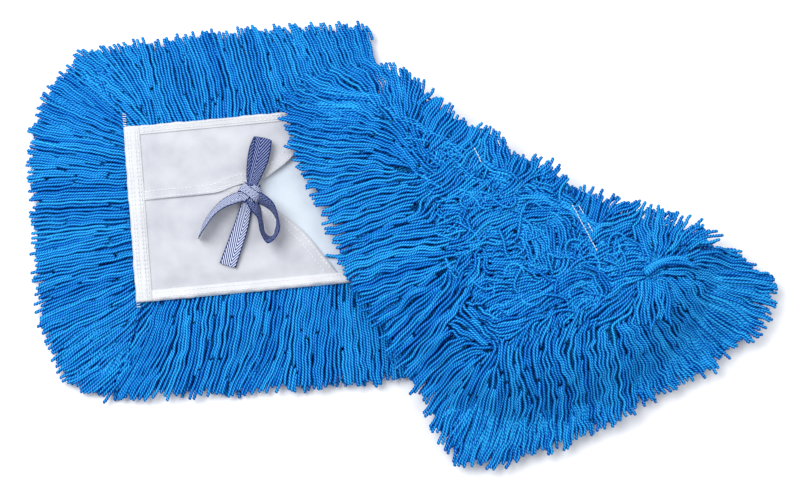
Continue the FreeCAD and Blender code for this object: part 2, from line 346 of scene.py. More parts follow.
def woven_material(name, dark, light, pitch, strength):
    """Plain-woven cotton: threads over and under each other, with a blotchy mottle that is a little
    unevenness, and painted soft shade of folds where dark and light lie far apart.
    """
    n = Nodes(name, Roughness=0.9, Sheen_Weight=0.15, Sheen_Roughness=0.6, Specular_IOR_Level=0.2)
    split = n.add("ShaderNodeSeparateXYZ", Vector=n.place())
    turns = 2 * math.pi / pitch
    warp = n.math("SINE", n.math("MULTIPLY", split.outputs["X"], turns))
    weft = n.math("SINE", n.math("MULTIPLY", split.outputs["Y"], turns))
    weave = n.math("MULTIPLY_ADD", n.math("MULTIPLY", warp, weft), 0.5, 0.5)
    # A blotchy mottle: unevenness in the cloth, and painted soft shade where its colours lie far apart.
    mottle_and_painted_shade = n.math("MULTIPLY_ADD", n.noise(55, 3), 0.7, n.math("MULTIPLY", weave, 0.3))
    n.colour(n.ramp(mottle_and_painted_shade, (0.3, dark), (0.62, light)))
    n.bump(n.math("MULTIPLY_ADD", n.noise(2500, 2), 0.5, weave), strength, 0.00025)
    return n.material


def tape_material(name, navy_share):
    """Herringbone tape: navy and pale slanting lines that meet in a spine off the middle."""
    n = Nodes(name, Roughness=0.8, Specular_IOR_Level=0.15)
    across, along = n.value("across"), n.value("along")
    from_spine = n.math("ABSOLUTE", n.math("SUBTRACT", across, TAPE_SPINE))
    lines = n.math("MULTIPLY_ADD", from_spine, 3.6, n.math("DIVIDE", along, TAPE_PITCH))
    wave = n.math("MULTIPLY_ADD", n.math("SINE", n.math("MULTIPLY", lines, 2 * math.pi)), 0.5, 0.5)
    edge = n.math("GREATER_THAN", n.math("ABSOLUTE", across), TAPE_EDGE)
    body = n.math("MAXIMUM", n.math("ADD", wave, navy_share - 0.5), edge)
    body = n.math("MULTIPLY_ADD", n.noise(1200, 2), 0.16, body)
    pale, blend, navy = (0.6, 0.65, 0.82), (0.09, 0.14, 0.36), (0.008, 0.022, 0.12)
    n.colour(n.ramp(body, (0.42, pale), (0.56, blend), (0.7, navy)))
    n.bump(n.math("MULTIPLY_ADD", n.noise(2500, 2), 0.3, wave), 0.5, 0.0002)
    return n.material


# The blue yarn: deep is painted shade for grooves and sides, middle its own blue, bright a painted highlight
# for crests.
BLUE = yarn_material("blue_yarn", (0.0, 0.02, 0.27), (0.0003, 0.1, 0.475), (0.045, 0.6, 1.0))
CANVAS = woven_material("backing_cotton", (0.55, 0.61, 0.69), (0.63, 0.69, 0.755), 0.0009, 0.4)
# The flaps' wide range from dark to light paints soft shade of their folds, as well as the cloth's
# unevenness.
FLAP = woven_material("flap_cotton", (0.43, 0.445, 0.495), (0.585, 0.595, 0.635), 0.0007, 0.4)
BINDING = woven_material("binding_cotton", (0.58, 0.59, 0.62), (0.69, 0.7, 0.725), 0.0011, 0.5)
THREAD = woven_material("white_thread", (0.74, 0.75, 0.78), (0.86, 0.87, 0.9), 0.0006, 0.5)
TAPE = tape_material("herringbone_tape", 0.47)
TAPE_NAVY = tape_material("herringbone_tape_navy", 0.87)


# ---------------------------------------------------------------- yarn


class Yarn:
    """Strands of one piece. Each is a tube whose rings bulge in turn, as the plies of a twist do."""

    def __init__(self, seed):
        self.rng = np.random.default_rng(seed)
        self.strands = []

    def strand(self, path, step=FINE_STEP, radius=STRAND_RADIUS):
        """One strand along a path. Its crests and top are painted bright as highlights, and its grooves and
        sides painted dark as shade; tone tells one strand from another.
        """
        rings = max(5, int(distances(path)[-1] / step))
        centre = spaced(path, np.linspace(0, 1, rings))
        ahead = unit(np.gradient(centre, axis=0))
        side = unit(np.cross(ahead, (0.0, 0.0, 1.0)) + (1e-6, 0, 0))
        rise = np.cross(side, ahead)
        ring, spoke = np.arange(rings)[:, None], np.arange(STRAND_SIDES)[None, :]
        turn = 2 * np.pi * spoke / STRAND_SIDES + self.rng.uniform(-0.2, 0.2) + np.pi / 6
        crest = (ring + spoke) % 2
        girth = radius * (1 + PLY_BULGE * (2 * crest - 1))
        girth = girth * np.where((ring == 0) | (ring == rings - 1), CUT_END_GIRTH, 1)
        offset = side[:, None] * np.cos(turn)[..., None] + rise[:, None] * np.sin(turn)[..., None]
        points = centre[:, None] + girth[..., None] * offset
        # Painted light: a strand's top and underside are painted light and its sides painted shade, as
        # between touching strands; its grooves are painted darker than its crests.
        crown = np.abs(np.sin(turn)) ** 1.5
        painted_light = crown * (PAINTED_CREST_SHARE * crest + 1 - PAINTED_CREST_SHARE)
        tone = np.full(crest.shape, self.rng.beta(2.2, 2.2))
        self.strands.append((points.reshape(-1, 3), rings, painted_light.ravel(), tone.ravel()))

    def drifting(self, count, size, reach):
        """Values that change smoothly from one strand to the next, over about reach strands."""
        knots = max(4, int(count / reach) + 3)
        values = self.rng.normal(0, size, knots)
        return np.interp(np.linspace(0, knots - 1, count), np.arange(knots), values)

    def comb(
        self, roots, tips, count, lift=0.0, bow=0.0, wave=1.0, clump=0.16, crowd=0.0, ragged=0.025, **how
    ):
        """Strands side by side, from a line of roots to a line of tips, both as (u, v, z). They gather a
        little in locks towards their tips. lift raises their middle, bow curves them sideways by a share
        of their length, and crowd draws the roots towards the line's ends."""
        rng = self.rng
        shares = (np.arange(count) + rng.uniform(0.3, 0.7, count)) / count
        lock = np.cumsum(rng.random(count) < LOCK_CHANCE)
        locks = lock[-1] + 1
        middle = np.bincount(lock, shares) / np.maximum(np.bincount(lock), 1)
        tip_shares = np.clip(shares + clump * (middle[lock] - shares), 0, 1)
        root_shares = (1 - crowd) * shares + crowd * (1 - np.cos(np.pi * shares)) / 2
        # Every strand differs a little: in its ends, length, bend, waves and height.
        start = spaced(np.asarray(roots, float), root_shares) + rng.normal(0, 0.3, (count, 3))
        end = spaced(np.asarray(tips, float), tip_shares) + rng.normal(0, 0.45, (count, 3))
        stretch = 1 + rng.normal(0, ragged, locks)[lock] + rng.normal(0, ragged, count)
        end[:, :2] = start[:, :2] + (end - start)[:, :2] * stretch[:, None]
        bend = bow + self.drifting(count, 0.016, 9) + rng.normal(0, 0.005, count)
        phase = self.drifting(count, 1.6, 12) + rng.normal(0, 0.35, count)
        turns = 1.7 + self.drifting(count, 0.3, 10) + rng.normal(0, 0.1, count)
        height = lift + self.drifting(count, 0.3, 5) + rng.normal(0, 0.45, count)
        size = wave * (1 + 0.4 * self.drifting(count, 1.0, 6))
        t = np.linspace(0, 1, COMB_POINTS)[:, None]
        for i in range(count):
            run = end[i] - start[i]
            sideways = unit(np.array([-run[1], run[0], 0.0]))
            swing = bend[i] * np.linalg.norm(run) * 4 * t * (1 - t)
            swing = swing + size[i] * np.sin(2 * np.pi * turns[i] * t + phase[i]) * np.sqrt(t)
            path = start[i] + run * t + sideways * swing
            path[:, 2:] += height[i] * 4 * t * (1 - t)
            self.strand(path, **how)

    def streams(self, ground, outline, longest, level=0.0, spare=4, dip=1.2, sway=1.7, **how):
        """Strands side by side along the combing directions of a ground, all over an outline. They keep
        off the strands already laid there, and may run past the outline by up to spare steps. Their ends
        dip towards the layer below, and sway is how far they wander sideways."""
        rng = self.rng
        outline = np.array([p[:2] for p in outline], float)
        low, high = outline.min(0), outline.max(0)
        for seed in low + (high - low) * rng.random((STREAM_TRIES, 2)):
            if not is_within(seed, outline) or ground.is_taken(seed, ground.apart):
                continue
            # The path grows both ways from its seed, until it meets a strand or leaves the outline.
            ways = []
            for sign in (1, -1):
                place, heading, way = seed, sign * ground.heading(seed), []
                left = rng.integers(0, spare + 1)
                while len(way) < longest / STREAM_STEP / 2 and left >= 0:
                    ahead = ground.heading(place)
                    heading = unit(heading + ahead * np.sign(ahead @ heading))
                    place = place + heading * STREAM_STEP
                    if ground.is_taken(place, ground.close):
                        break
                    left -= not is_within(place, outline)
                    way.append(place)
                ways.append(way)
            path = np.array(ways[1][::-1] + [seed] + ways[0])
            if len(path) < SHORTEST_STREAM:
                continue
            ground.take(path)
            t = np.linspace(0, 1, len(path))
            along = t * len(path) * STREAM_STEP
            z = ground.height(path) + level + rng.normal(0, 0.35)
            z += 0.3 * np.sin(along / 5 + rng.uniform(0, 6))
            z -= dip * np.exp(-np.minimum(along, along[-1] - along) / 2.5)
            waves = [ripple(*(3.5 * path.T), wave_seed, sway) for wave_seed in (71, 72)]
            self.strand(np.column_stack([path + np.column_stack(waves), z]), **how)

    def curls(self, area, count, levels):
        """Loose curled strands: arcs whose middles lie inside a four-cornered area."""
        rng = self.rng
        corners = np.asarray(area, float)
        low, high = levels
        for _ in range(count):
            a, b = rng.random(2)
            near = corners[0] + (corners[1] - corners[0]) * a
            far = corners[3] + (corners[2] - corners[3]) * a
            middle = near + (far - near) * b
            size = rng.uniform(*CURL_LENGTH)
            turn_way = rng.choice((-1, 1)) / rng.uniform(*CURL_RADIUS)
            facing = rng.uniform(-np.pi, np.pi)
            t = np.linspace(-0.5, 0.5, CURL_POINTS) * size
            angle = facing + t * turn_way + 0.5 * np.sin(t * rng.uniform(0.15, 0.3) + rng.uniform(0, 6))
            steps = np.stack([np.cos(angle), np.sin(angle)], -1) * size / (CURL_POINTS - 1)
            place = middle + np.cumsum(steps, axis=0) - steps[: CURL_POINTS // 2].sum(0)
            z = low + (high - low) * (0.25 + 0.75 * rng.random()) * np.cos(np.pi * t / size).clip(0) ** 0.8
            self.strand(np.column_stack([place, z]))

    def done(self, name, body, *nodes, far=False, material=BLUE, slot="yarn"):
        """Joins the strands into one piece, which replaces the named nodes."""
        start, quads, caps = 0, [], []
        points, all_rings, painted_light, tone = zip(*self.strands)
        for rings in all_rings:
            index = start + np.arange(rings * STRAND_SIDES).reshape(rings, STRAND_SIDES)
            along = np.roll(index, -1, axis=1)
            quads.append(np.stack([index[:-1], along[:-1], along[1:], index[1:]], -1).reshape(-1, 4))
            caps.append(np.stack([index[0, ::-1], index[-1]]))
            start += rings * STRAND_SIDES
        points = np.concatenate(points)
        values = {"painted_light": np.concatenate(painted_light), "tone": np.concatenate(tone)}
        if far:
            points = folded_over(points)
        faces = [np.concatenate(quads), np.concatenate(caps)]
        return add_piece(name, points, faces, material, slot, body, nodes, **values)


def is_within(place, outline):
    """Whether a point lies inside an outline."""
    u, v = outline.T
    after_u, after_v = np.roll(u, -1), np.roll(v, -1)
    crossed = (v > place[1]) != (after_v > place[1])
    reach = u + (place[1] - v) * (after_u - u) / np.where(crossed, after_v - v, 1)
    return np.count_nonzero(crossed & (place[0] < reach)) % 2 == 1


class Ground:
    """A surface that strands are laid on: its combing directions, its height and its taken room.

    guides are lines that the strands follow, and levels are (u, v, z) points of its height. Both count
    for more the nearer they are. wobble turns the directions a little here and there, and gap is the
    distance kept between strands."""

    def __init__(self, guides, levels, room, seed, wobble, gap=1.75):
        self.low = np.array(room[0], float)
        cells = [np.arange(start, stop, GROUND_CELL) for start, stop in zip(*room)]
        u, v = np.meshgrid(*cells, indexing="ij")
        # Directions are averaged as doubled angles, since a line can be followed either way.
        doubled = np.zeros(u.shape, complex)
        for guide in guides:
            line = np.array(guide, float)
            steps = max(2, int(np.linalg.norm(line[-1] - line[0]) / GUIDE_STEP)) + 1
            line = smooth_path(line, steps) @ (1, 1j)
            for middle, run in zip((line[1:] + line[:-1]) / 2, np.diff(line)):
                doubled += (run / abs(run)) ** 2 / (abs(u + 1j * v - middle) ** 2 + 5) ** 1.7
        turn = np.angle(doubled) / 2 + wobble * ripple(u, v, seed, 2.4)
        self.headings = np.stack([np.cos(turn), np.sin(turn)], -1)
        levels = np.array(levels, float)
        near = 1 / ((u[..., None] - levels[:, 0]) ** 2 + (v[..., None] - levels[:, 1]) ** 2 + 20) ** 1.5
        self.levels = (near * levels[:, 2]).sum(-1) / near.sum(-1)
        fine = [int(n * GROUND_CELL / TAKEN_CELL) for n in u.shape]
        self.apart, self.close = np.zeros(fine, bool), np.zeros(fine, bool)
        self.gap = gap

    def heading(self, place):
        """The combing direction at a place, either way along it."""
        return self.headings[tuple(((place - self.low) / GROUND_CELL).round().astype(int))]

    def height(self, path):
        """The heights under a path, from the grid's four nearest values."""
        cells = (path - self.low) / GROUND_CELL
        low = cells.astype(int)
        (a, b), (i, j) = (cells - low).T, low.T
        z = self.levels
        before = z[i, j] * (1 - a) + z[i + 1, j] * a
        after = z[i, j + 1] * (1 - a) + z[i + 1, j + 1] * a
        return before * (1 - b) + after * b

    def is_taken(self, place, room):
        """Whether a place is taken: in self.apart for a strand to start at, in self.close for it to pass."""
        return room[tuple(((place - self.low) / TAKEN_CELL).astype(int))]

    def take(self, path):
        """Marks the room beside a strand as taken."""
        for room, reach in ((self.apart, self.gap), (self.close, self.gap * 0.75)):
            offsets = np.arange(-int(reach / TAKEN_CELL), int(reach / TAKEN_CELL) + 1)
            du, dv = np.meshgrid(offsets, offsets)
            disc = np.hypot(du, dv) * TAKEN_CELL < reach
            i, j = ((path - self.low) / TAKEN_CELL).astype(int).T
            room[(i[:, None] + du[disc]).ravel(), (j[:, None] + dv[disc]).ravel()] = True


def raised(line, z):
    """A line of (u, v) points at one height."""
    return np.column_stack([np.asarray(line, float), np.full(len(line), z)])


# Near fringes: two combed layers on the floor, and a top layer nearly level with the canvas.
LOW_LAYERS = (
    # root height, tip height, lift, share of full length
    (4.4, 1.4, 0.3, 0.98),
    (9.7, 4.2, 0.2, 1.0),
)
NEAR_GUIDES = [
    [(14, 129), (-5, 153), (-32, 175)], [(20, 131), (17, 154), (3, 185)],
    [(27, 133), (24, 151), (17, 186)], [(47, 133), (44, 146), (36, 179)],
    [(65, 134), (66, 148), (60, 181)], [(85, 133), (86, 147), (79, 181)],
    [(107, 134), (105, 148), (99, 178)], [(125, 137), (121, 148), (112, 176)],
    [(140, 142), (134, 158), (128, 176)], [(157, 140), (150, 162), (146, 175)],
    [(171, 140), (164, 161), (160, 174)], [(182, 140), (177, 161), (174, 174)],
    [(1, 118), (-19, 130), (-42, 145)], [(0, 106), (-27, 115), (-45, 118)], [(-1, 94), (-35, 98)],
    [(0, 74), (-33, 75), (-64, 77)], [(0, 58), (-60, 62)], [(0, 44), (-35, 41), (-63, 38)],
    [(0, 25), (-31, 19), (-62, 11)], [(2, 14), (-24, 5), (-61, -6)], [(3, -3), (-26, -16), (-59, -34)],
    [(3, -9), (-20, -29), (-53, -45)], [(6, -19), (-10, -37), (-35, -58)],
    [(15, -7), (5, -31), (-20, -67)], [(41, -7), (36, -34), (22, -73)],
    [(68, -4), (60, -37), (44, -73)], [(100, -3), (91, -33), (70, -74)],
    [(129, -5), (122, -36), (117, -76)], [(150, -3), (146, -40), (147, -72)],
    [(186, -4), (182, -43), (181, -72)], [(230, -2), (230, -40), (236, -70)],
    [(290, -2), (293, -40), (302, -70)], [(340, -2), (345, -40), (352, -68)],
]
END_FRINGE_TIPS = [(-26, -63), (-53, -48), (-67, -14), (-69, 60), (-66, 130), (-51, 161), (-26, 186)]
TOP_FRINGE_TIPS = [(-26, 186), (63, 191), (134, 190), (182, 186)]
BOTTOM_FRINGE_TIPS = [(-28, -63), (71, -67), (192, -69), (345, -67)]

# The near fringes' upper surface falls from the canvas's edge to their tips.
NEAR_EDGE = [(3, v) for v in (4, 35, 65, 95, 123)] + [(u, 124) for u in (35, 70, 105, 140, 175)]
NEAR_EDGE += [(u, 3) for u in range(30, 350, 35)]
NEAR_LEVELS = [(u, v, NEAR_TIP_Z) for u, v in END_FRINGE_TIPS + TOP_FRINGE_TIPS + BOTTOM_FRINGE_TIPS]
NEAR_LEVELS += [(u, v, NEAR_EDGE_Z) for u, v in NEAR_EDGE]
near_ground = Ground(NEAR_GUIDES, NEAR_LEVELS, NEAR_ROOM, 63, 0.07, 1.6)


def shortened(roots, tips, share):
    """Tips drawn back towards their roots."""
    roots, tips = np.asarray(roots, float), np.asarray(tips, float)
    return spaced(roots, np.linspace(0, 1, len(tips))) * (1 - share) + tips * share


def near_fringe(edge, base, tips, count, seed, crowd):
    """One edge's fringe, as a lower and an upper piece."""
    under = Yarn(seed)
    for root_z, tip_z, lift, share in LOW_LAYERS:
        ends = shortened(base, tips, share)
        under.comb(raised(base, root_z), raised(ends, tip_z), count, lift, crowd=crowd, step=COARSE_STEP)
    top = Yarn(seed + 100)
    top.streams(near_ground, base[::-1] + tips, LONGEST_SIDE_STRAND, spare=3, sway=0.9)
    return [
        under.done(f"near_{edge}_fringe_under", "near_half"),
        top.done(f"near_{edge}_fringe_top", "near_half", f"near_{edge}_fringe"),
    ]


fringes = near_fringe("end", [(3, -1), (3, 128)], END_FRINGE_TIPS, 150, 11, 0.8)
fringes += near_fringe("top", [(0, 124), (184, 124)], TOP_FRINGE_TIPS, 92, 12, 0.2)
fringes += near_fringe("bottom", [(0, 3), (350, 3)], BOTTOM_FRINGE_TIPS, 148, 13, 0.1)

# Face yarn: every sewn row lays its strands both ways across the backing, lower at the tips. The near
# half's face is underneath.
FACE_REACH = 27
FACE_ROOT_Z = 11.4
FACE_TIP_Z = 4.4
NEAR_ROW_STRANDS = 60
FAR_ROW_STRANDS = 34


def fold_u(v):
    """How far along u the fold crosses the backing at v."""
    return FOLD_TOP_U + (BACKING_WIDTH - v) * (FOLD_BOTTOM_U - FOLD_TOP_U) / BACKING_WIDTH


def face_yarn(half, row, count, u_range, seed):
    """One sewn row. u_range gives the ends of the row at any v."""
    yarn = Yarn(seed)
    middle = (row + 0.5) * ROW_PITCH
    for way in (-1, 1):
        reach = np.clip(middle + way * FACE_REACH, 2, BACKING_WIDTH - 2)
        roots = [(u, middle, FACE_ROOT_Z) for u in u_range(middle)]
        tips = [(u, reach, FACE_TIP_Z) for u in u_range(reach)]
        yarn.comb(roots, tips, count, -2.2, wave=1.6, clump=0.5, ragged=0.1, step=COARSE_STEP)
    node = f"{half}_yarn_row_{row + 1}"
    return yarn.done(f"{half}_face_yarn_{row + 1}", f"{half}_half", node, far=half == "far")


def near_row_ends(v):
    """Both ends of a near row at v."""
    return 4, fold_u(v) - 4


def far_row_ends(v):
    """Both ends of a far row at v."""
    return fold_u(v) + 4, BACKING_LENGTH - 4


for row in range(ROW_COUNT):
    face_yarn("near", row, NEAR_ROW_STRANDS, near_row_ends, 20 + row)
    face_yarn("far", row, FAR_ROW_STRANDS, far_row_ends, 30 + row)

# Far half, as it lies folded over. All points below are where the strands are at rest.
far_corner = folded_over((BACKING_LENGTH, BACKING_WIDTH, CANVAS_BOTTOM))[:2]
tip_corner = folded_over((BACKING_LENGTH, 0, CANVAS_BOTTOM))[:2]
top_corner = fold_start[:2]
fold_end = np.array([FOLD_BOTTOM_U, 0])

SIDE_TIPS = [
    (132, 145, 20), (119, 133, 20.5), (118, 126, 21), (116, 112, 21), (121, 97, 20.6), (131, 72, 20.6),
    (138, 53, 20.6), (145, 37, 20.6), (149, 15, 20.4), (154, 0, 19.5), (170, -29, 15.5), (188, -69, 12),
    (202, -104, 9.5), (211, -125, 8),
]
END_TIPS = [
    (210, -125, 7), (222, -132, 6), (245, -134, 6), (259, -130, 6), (286, -126, 6), (314, -115, 6),
    (354, -99, 6), (380, -89, 6), (399, -80, 6), (412, -71, 6),
]
TIP_TIPS = [(412, -71, 6), (429, -63, 7), (440, -47, 8), (442, -35, 9), (447, -27, 10), (431, -15, 12)]
TIP_TIPS += [(421, -4, 14)]
FOLD_TIPS = [
    (188, 150), (197, 148), (206, 142), (216, 130), (228, 116), (241, 101), (256, 95), (266, 89),
    (276, 73), (297, 69), (305, 60), (310, 44), (327, 43), (340, 37), (367, 29), (379, 23), (397, 13),
    (412, 3),
]


def moved(line, du=0.0, dv=0.0, dz=0.0):
    """A line of (u, v, z) points, moved."""
    return np.asarray(line, float) + (du, dv, dz)


# Lines along which the yarn of the far half is combed: over the side fringe, over the fold, over the end
# and the tip, and the curls of the face between them.
GUIDES = [
    [(133, 147), (152, 133), (167, 117)], [(137, 128), (159, 117), (187, 104), (198, 88), (210, 72)],
    [(144, 112), (171, 107), (192, 94)], [(138, 88), (163, 84), (191, 74)], [(132, 77), (176, 73)],
    [(142, 66), (194, 72)], [(147, 55), (198, 65)], [(149, 45), (201, 55)], [(151, 34), (205, 43)],
    [(153, 18), (212, 26)], [(161, 6), (198, 14), (218, 13)], [(165, -9), (209, 3)],
    [(173, -26), (212, -7)], [(185, -47), (221, -18)], [(190, -62), (221, -31)],
    [(198, -77), (220, -62), (240, -59)], [(203, -87), (230, -65)],
    [(150, 147), (165, 132), (183, 117)], [(181, 135), (186, 118), (197, 97)],
    [(196, 133), (199, 115), (210, 81)], [(205, 132), (202, 113)], [(217, 121), (208, 110), (208, 100)],
    [(229, 108), (214, 92)], [(234, 91), (214, 77)], [(245, 79), (229, 63)], [(262, 82), (262, 68)],
    [(284, 72), (278, 60)], [(306, 56), (296, 44)], [(330, 36), (326, 24)], [(362, -2), (358, 14)],
    [(367, -3), (371, 12), (374, 24)], [(370, -4), (384, 12)], [(378, -5), (398, 5), (412, 8)],
    [(329, 17), (347, 22)], [(214, -118), (229, -83), (240, -65)],
    [(241, -121), (254, -92), (253, -70)], [(266, -113), (274, -98), (267, -78)],
    [(277, -119), (278, -95), (277, -77)], [(288, -116), (293, -90), (288, -74)],
    [(309, -114), (307, -98), (306, -68)], [(321, -112), (316, -85), (312, -69)],
    [(340, -101), (335, -75), (333, -53)], [(355, -97), (347, -72), (339, -52)],
    [(370, -93), (359, -73), (348, -50)], [(392, -83), (378, -66), (369, -53)],
    [(402, -76), (389, -57), (376, -42)], [(363, -13), (373, -10), (385, -14)],
    [(390, -10), (403, -7), (429, -14)], [(395, -18), (414, -24), (437, -32)],
    [(389, -25), (398, -37), (413, -45), (434, -56)], [(381, -27), (391, -42), (406, -56), (422, -68)],
    [(376, -34), (383, -48), (396, -62)], [(222, -38), (240, -56)], [(231, -36), (243, -54)],
    [(256, -44), (276, -39), (299, -33)], [(269, -59), (274, -46)], [(285, -51), (292, -41)],
    [(295, -62), (303, -49)], [(309, -66), (313, -48)], [(321, -50), (337, -45)],
    [(344, -50), (352, -37)], [(324, -43), (338, -33)], [(333, -11), (352, -8)], [(328, 10), (338, 13)],
    [(337, -5), (344, 2), (352, 0)], [(235, 51), (255, 66)], [(236, 44), (250, 53)],
    [(213, 33), (215, 41), (221, 47), (232, 44), (236, 36), (235, 24)],
    [(240, 26), (248, 33), (258, 37)], [(255, 42), (268, 44)], [(269, 51), (281, 61)],
    [(285, 52), (297, 49), (305, 40)], [(280, 33), (305, 32)], [(261, 30), (275, 35)],
    [(279, 19), (280, 6), (284, -9)],
    [(263, 11), (254, 14), (246, 11), (245, 1), (251, -13), (264, -11)], [(249, 3), (264, 3)],
    [(261, -16), (280, -14)], [(284, -22), (299, -14), (318, -10), (326, -23)],
    [(263, -36), (293, -20)], [(302, -7), (306, 12), (305, 25)], [(199, 14), (222, 15)],
    [(223, -3), (218, -17)], [(228, -13), (237, -5)], [(202, 41), (204, 49), (221, 56)],
    [(197, 27), (230, 24)], [(317, 11), (329, 16)],
]

# Where those fringes leave the face.
SIDE_ROOTS = [(196, 106), (205, 74), (207, 58), (213, 40), (218, 22), (224, 4), (229, -16), (233, -34)]
SIDE_ROOTS += [(240, -58)]
END_ROOTS = [(240, -58), (258, -62), (276, -58), (296, -56), (318, -52), (340, -44), (362, -30)]
TIP_ROOTS = [(362, -30), (366, -14), (372, -4)]
FOLD_ROOTS = [(196, 106), (222, 88), (244, 70), (266, 54), (288, 38), (308, 24), (328, 12), (350, 0)]
FOLD_ROOTS += [(372, -4)]

# The upper surface of the far half: level over the face, and lower towards the tips.
FACE_PLACES = [(250, 30), (250, 0), (250, -30), (280, 10), (280, -30), (310, -10), (330, -25)]
FACE_PLACES = SIDE_ROOTS + END_ROOTS + TIP_ROOTS + FOLD_ROOTS[1:-1] + FACE_PLACES
LEVELS = [(u, v, FACE_TOP) for u, v in FACE_PLACES]
LEVELS += [(u, v, z + FRINGE_LIFT) for u, v, z in SIDE_TIPS + END_TIPS + TIP_TIPS]
LEVELS += [(u, v, FOLD_TIP_Z) for u, v in FOLD_TIPS] + [(150, 150, 24), (170, 150, 26)]
ground = Ground(GUIDES, LEVELS, FAR_ROOM, 61, 0.12)


def seam_blend(body, start, finish):
    """The far half and a fringe's own body, with a point either side of the seam between two points, as a
    piece's body.
    """
    middle = (np.array(start, float) + finish) / 2
    along = unit(np.array(finish, float) - start)
    outward = np.array([along[1], -along[0]])
    inside, outside = middle - outward * SEAM_BEND, middle + outward * SEAM_BEND
    return ("far_half", body, (*inside, SEAM_Z), (*outside, SEAM_Z))


def far_fringe(edge, seam, tips, outline, count, seed, layers, longest=85, past=(0, 0), **how):
    """One edge's fringe on the far half: combed layers on its own body, and a top layer over its seam.

    layers are the lift and crowding of each combed layer, and how far its roots and tips are moved. past
    moves the end of the roots."""
    body = f"far_{edge}_fringe_body"
    start, finish = seam
    roots = raised([start, finish + np.array(past)], SEAM_Z)
    under = Yarn(seed)
    for lift, crowd, root_move, tip_move in layers:
        line, ends = moved(roots, *root_move), moved(tips, *tip_move)
        under.comb(line, ends, count, lift, crowd=crowd, step=COARSE_STEP, **how)
    under.done(f"far_{edge}_fringe_strands", body, f"far_{edge}_fringe")
    top = Yarn(seed + 10)
    top.streams(ground, outline, longest, spare=5)
    top.done(f"far_{edge}_fringe_top", seam_blend(body, start, finish))


STILL = (0, 0, 0)
far_fringe(
    "side",
    (top_corner, far_corner),
    SIDE_TIPS,
    outline=[(188, 150), (170, 151), (150, 150)] + SIDE_TIPS + SIDE_ROOTS[::-1],
    count=122,
    seed=41,
    layers=[(1.0, 0, STILL, STILL), (1.0, 0, (4, 2, 2), (2, 0, 1.4))],
    longest=LONGEST_SIDE_STRAND,
)
far_fringe(
    "end",
    (far_corner, tip_corner),
    END_TIPS,
    outline=SIDE_TIPS[-2:-1] + END_TIPS + END_ROOTS[::-1],
    count=130,
    seed=42,
    layers=[(0.0, 0.5, STILL, STILL), (1.0, 0.4, (-1, 5, 2), (0, 1.5, 2))],
)
far_fringe(
    "tip",
    (tip_corner, fold_end),
    TIP_TIPS,
    outline=TIP_TIPS + TIP_ROOTS[::-1],
    count=62,
    seed=43,
    layers=[(0.0, 0, STILL, STILL), (1.0, 0, (-3, 0, 2), (-1, 0, 2))],
    past=(2, -4),
    ragged=0.05,
)

# Strands of the far face that spread outwards over the fold, and those of the near face below them.
over_fold = Yarn(44)
outward_comb = {"ragged": 0.07, "step": COARSE_STEP}
over_fold.comb(raised(FOLD_ROOTS, 31), raised(FOLD_TIPS, 27.8), 120, 0.6, wave=1.2, **outward_comb)
over_fold.streams(ground, FOLD_TIPS + FOLD_ROOTS[::-1], 60, spare=4)
over_fold.done("far_fold_strands", "far_half")

under_fold = Yarn(45)
for level, inset in ((3.4, 6), (7, 4), (10.6, 3)):
    near_line = raised([(FOLD_TOP_U - 2, BACKING_WIDTH - 4), (FOLD_BOTTOM_U - 6, 2)], level)
    near_ends = moved(raised(FOLD_TIPS[1:], level * 0.7 + 0.8), -inset, -inset)
    under_fold.comb(near_line, near_ends, 84, 0.4, **outward_comb)
under_fold.done("near_fold_strands", "near_half")

# Short ends on the bend itself. The middle ones stay level.
TUFTS_PER_ROW = 110
TUFT_ROWS = (
    # rise above the fold axis at the root and at the tip, root and tip distance outwards
    (-5.9, -8.5, 3.6, 12),
    (-1.1, -1.1, 5.7, 14),
    (0.0, 0.0, 5.8, 14.5),
    (1.1, 1.1, 5.7, 14),
    (5.9, 8.5, 3.6, 12),
)
bend_tufts = Yarn(46)
fold_length = np.hypot(FOLD_BOTTOM_U - FOLD_TOP_U, BACKING_WIDTH)
for share in np.linspace(0.02, 0.98, TUFTS_PER_ROW):
    for start_rise, end_rise, start, reach in TUFT_ROWS:
        base = fold_start + fold_line * (share + bend_tufts.rng.normal(0, 0.003)) * fold_length
        lean = fold_line * bend_tufts.rng.normal(0, 2.2)
        reach = reach + bend_tufts.rng.uniform(-1.5, 1.5)
        root = base + fold_outward * start + np.array([0, 0, start_rise])
        tip = base + fold_outward * reach + lean + np.array([0, 0, end_rise])
        bend_tufts.strand(root + (tip - root) * np.linspace(0, 1, 7)[:, None], COARSE_STEP)
bend_tufts.done("fold_tufts", FOLD_BLEND)

# The curls of the far face: a lower layer, the combed layer over it, and loose ends and locks on top.
FACE = SIDE_ROOTS + END_ROOTS[1:] + TIP_ROOTS[1:] + FOLD_ROOTS[-2:0:-1]
face = Yarn(47)
face.streams(Ground(GUIDES, LEVELS, FAR_ROOM, 62, 0.5), FACE, 40, level=-2.0, spare=4, step=COARSE_STEP)
face.streams(ground, FACE, 42, level=0.3, spare=5, dip=2.0)
face.done("far_face_strands", "far_half")

locks = Yarn(48)
lock_roots = raised([(350, -22), (370, -24)], 38.6)
locks.comb(lock_roots, raised([(344, -46), (372, -53)], 35.8), 13, 1.2, ragged=0.06)
lock_roots = raised([(354, -15), (357, -19)], 38.6)
locks.comb(lock_roots, raised([(388, -9), (390, -17)], 36.2), 9, 2.0, bow=0.16, wave=0.4)
locks.curls([(212, 56), (212, 2), (250, -40), (262, 62)], 14, (35, 38.5))
locks.curls([(256, 62), (246, -36), (300, -40), (304, 34)], 24, (35, 38.8))
locks.curls([(300, 34), (296, -36), (340, -30), (346, 8)], 14, (35, 38))
locks.done("far_tangle", "far_half")


# ---------------------------------------------------------------- cloth


def eased(x):
    """A smooth step from 0 to 1."""
    x = np.clip(x, 0, 1)
    return x * x * (3 - 2 * x)


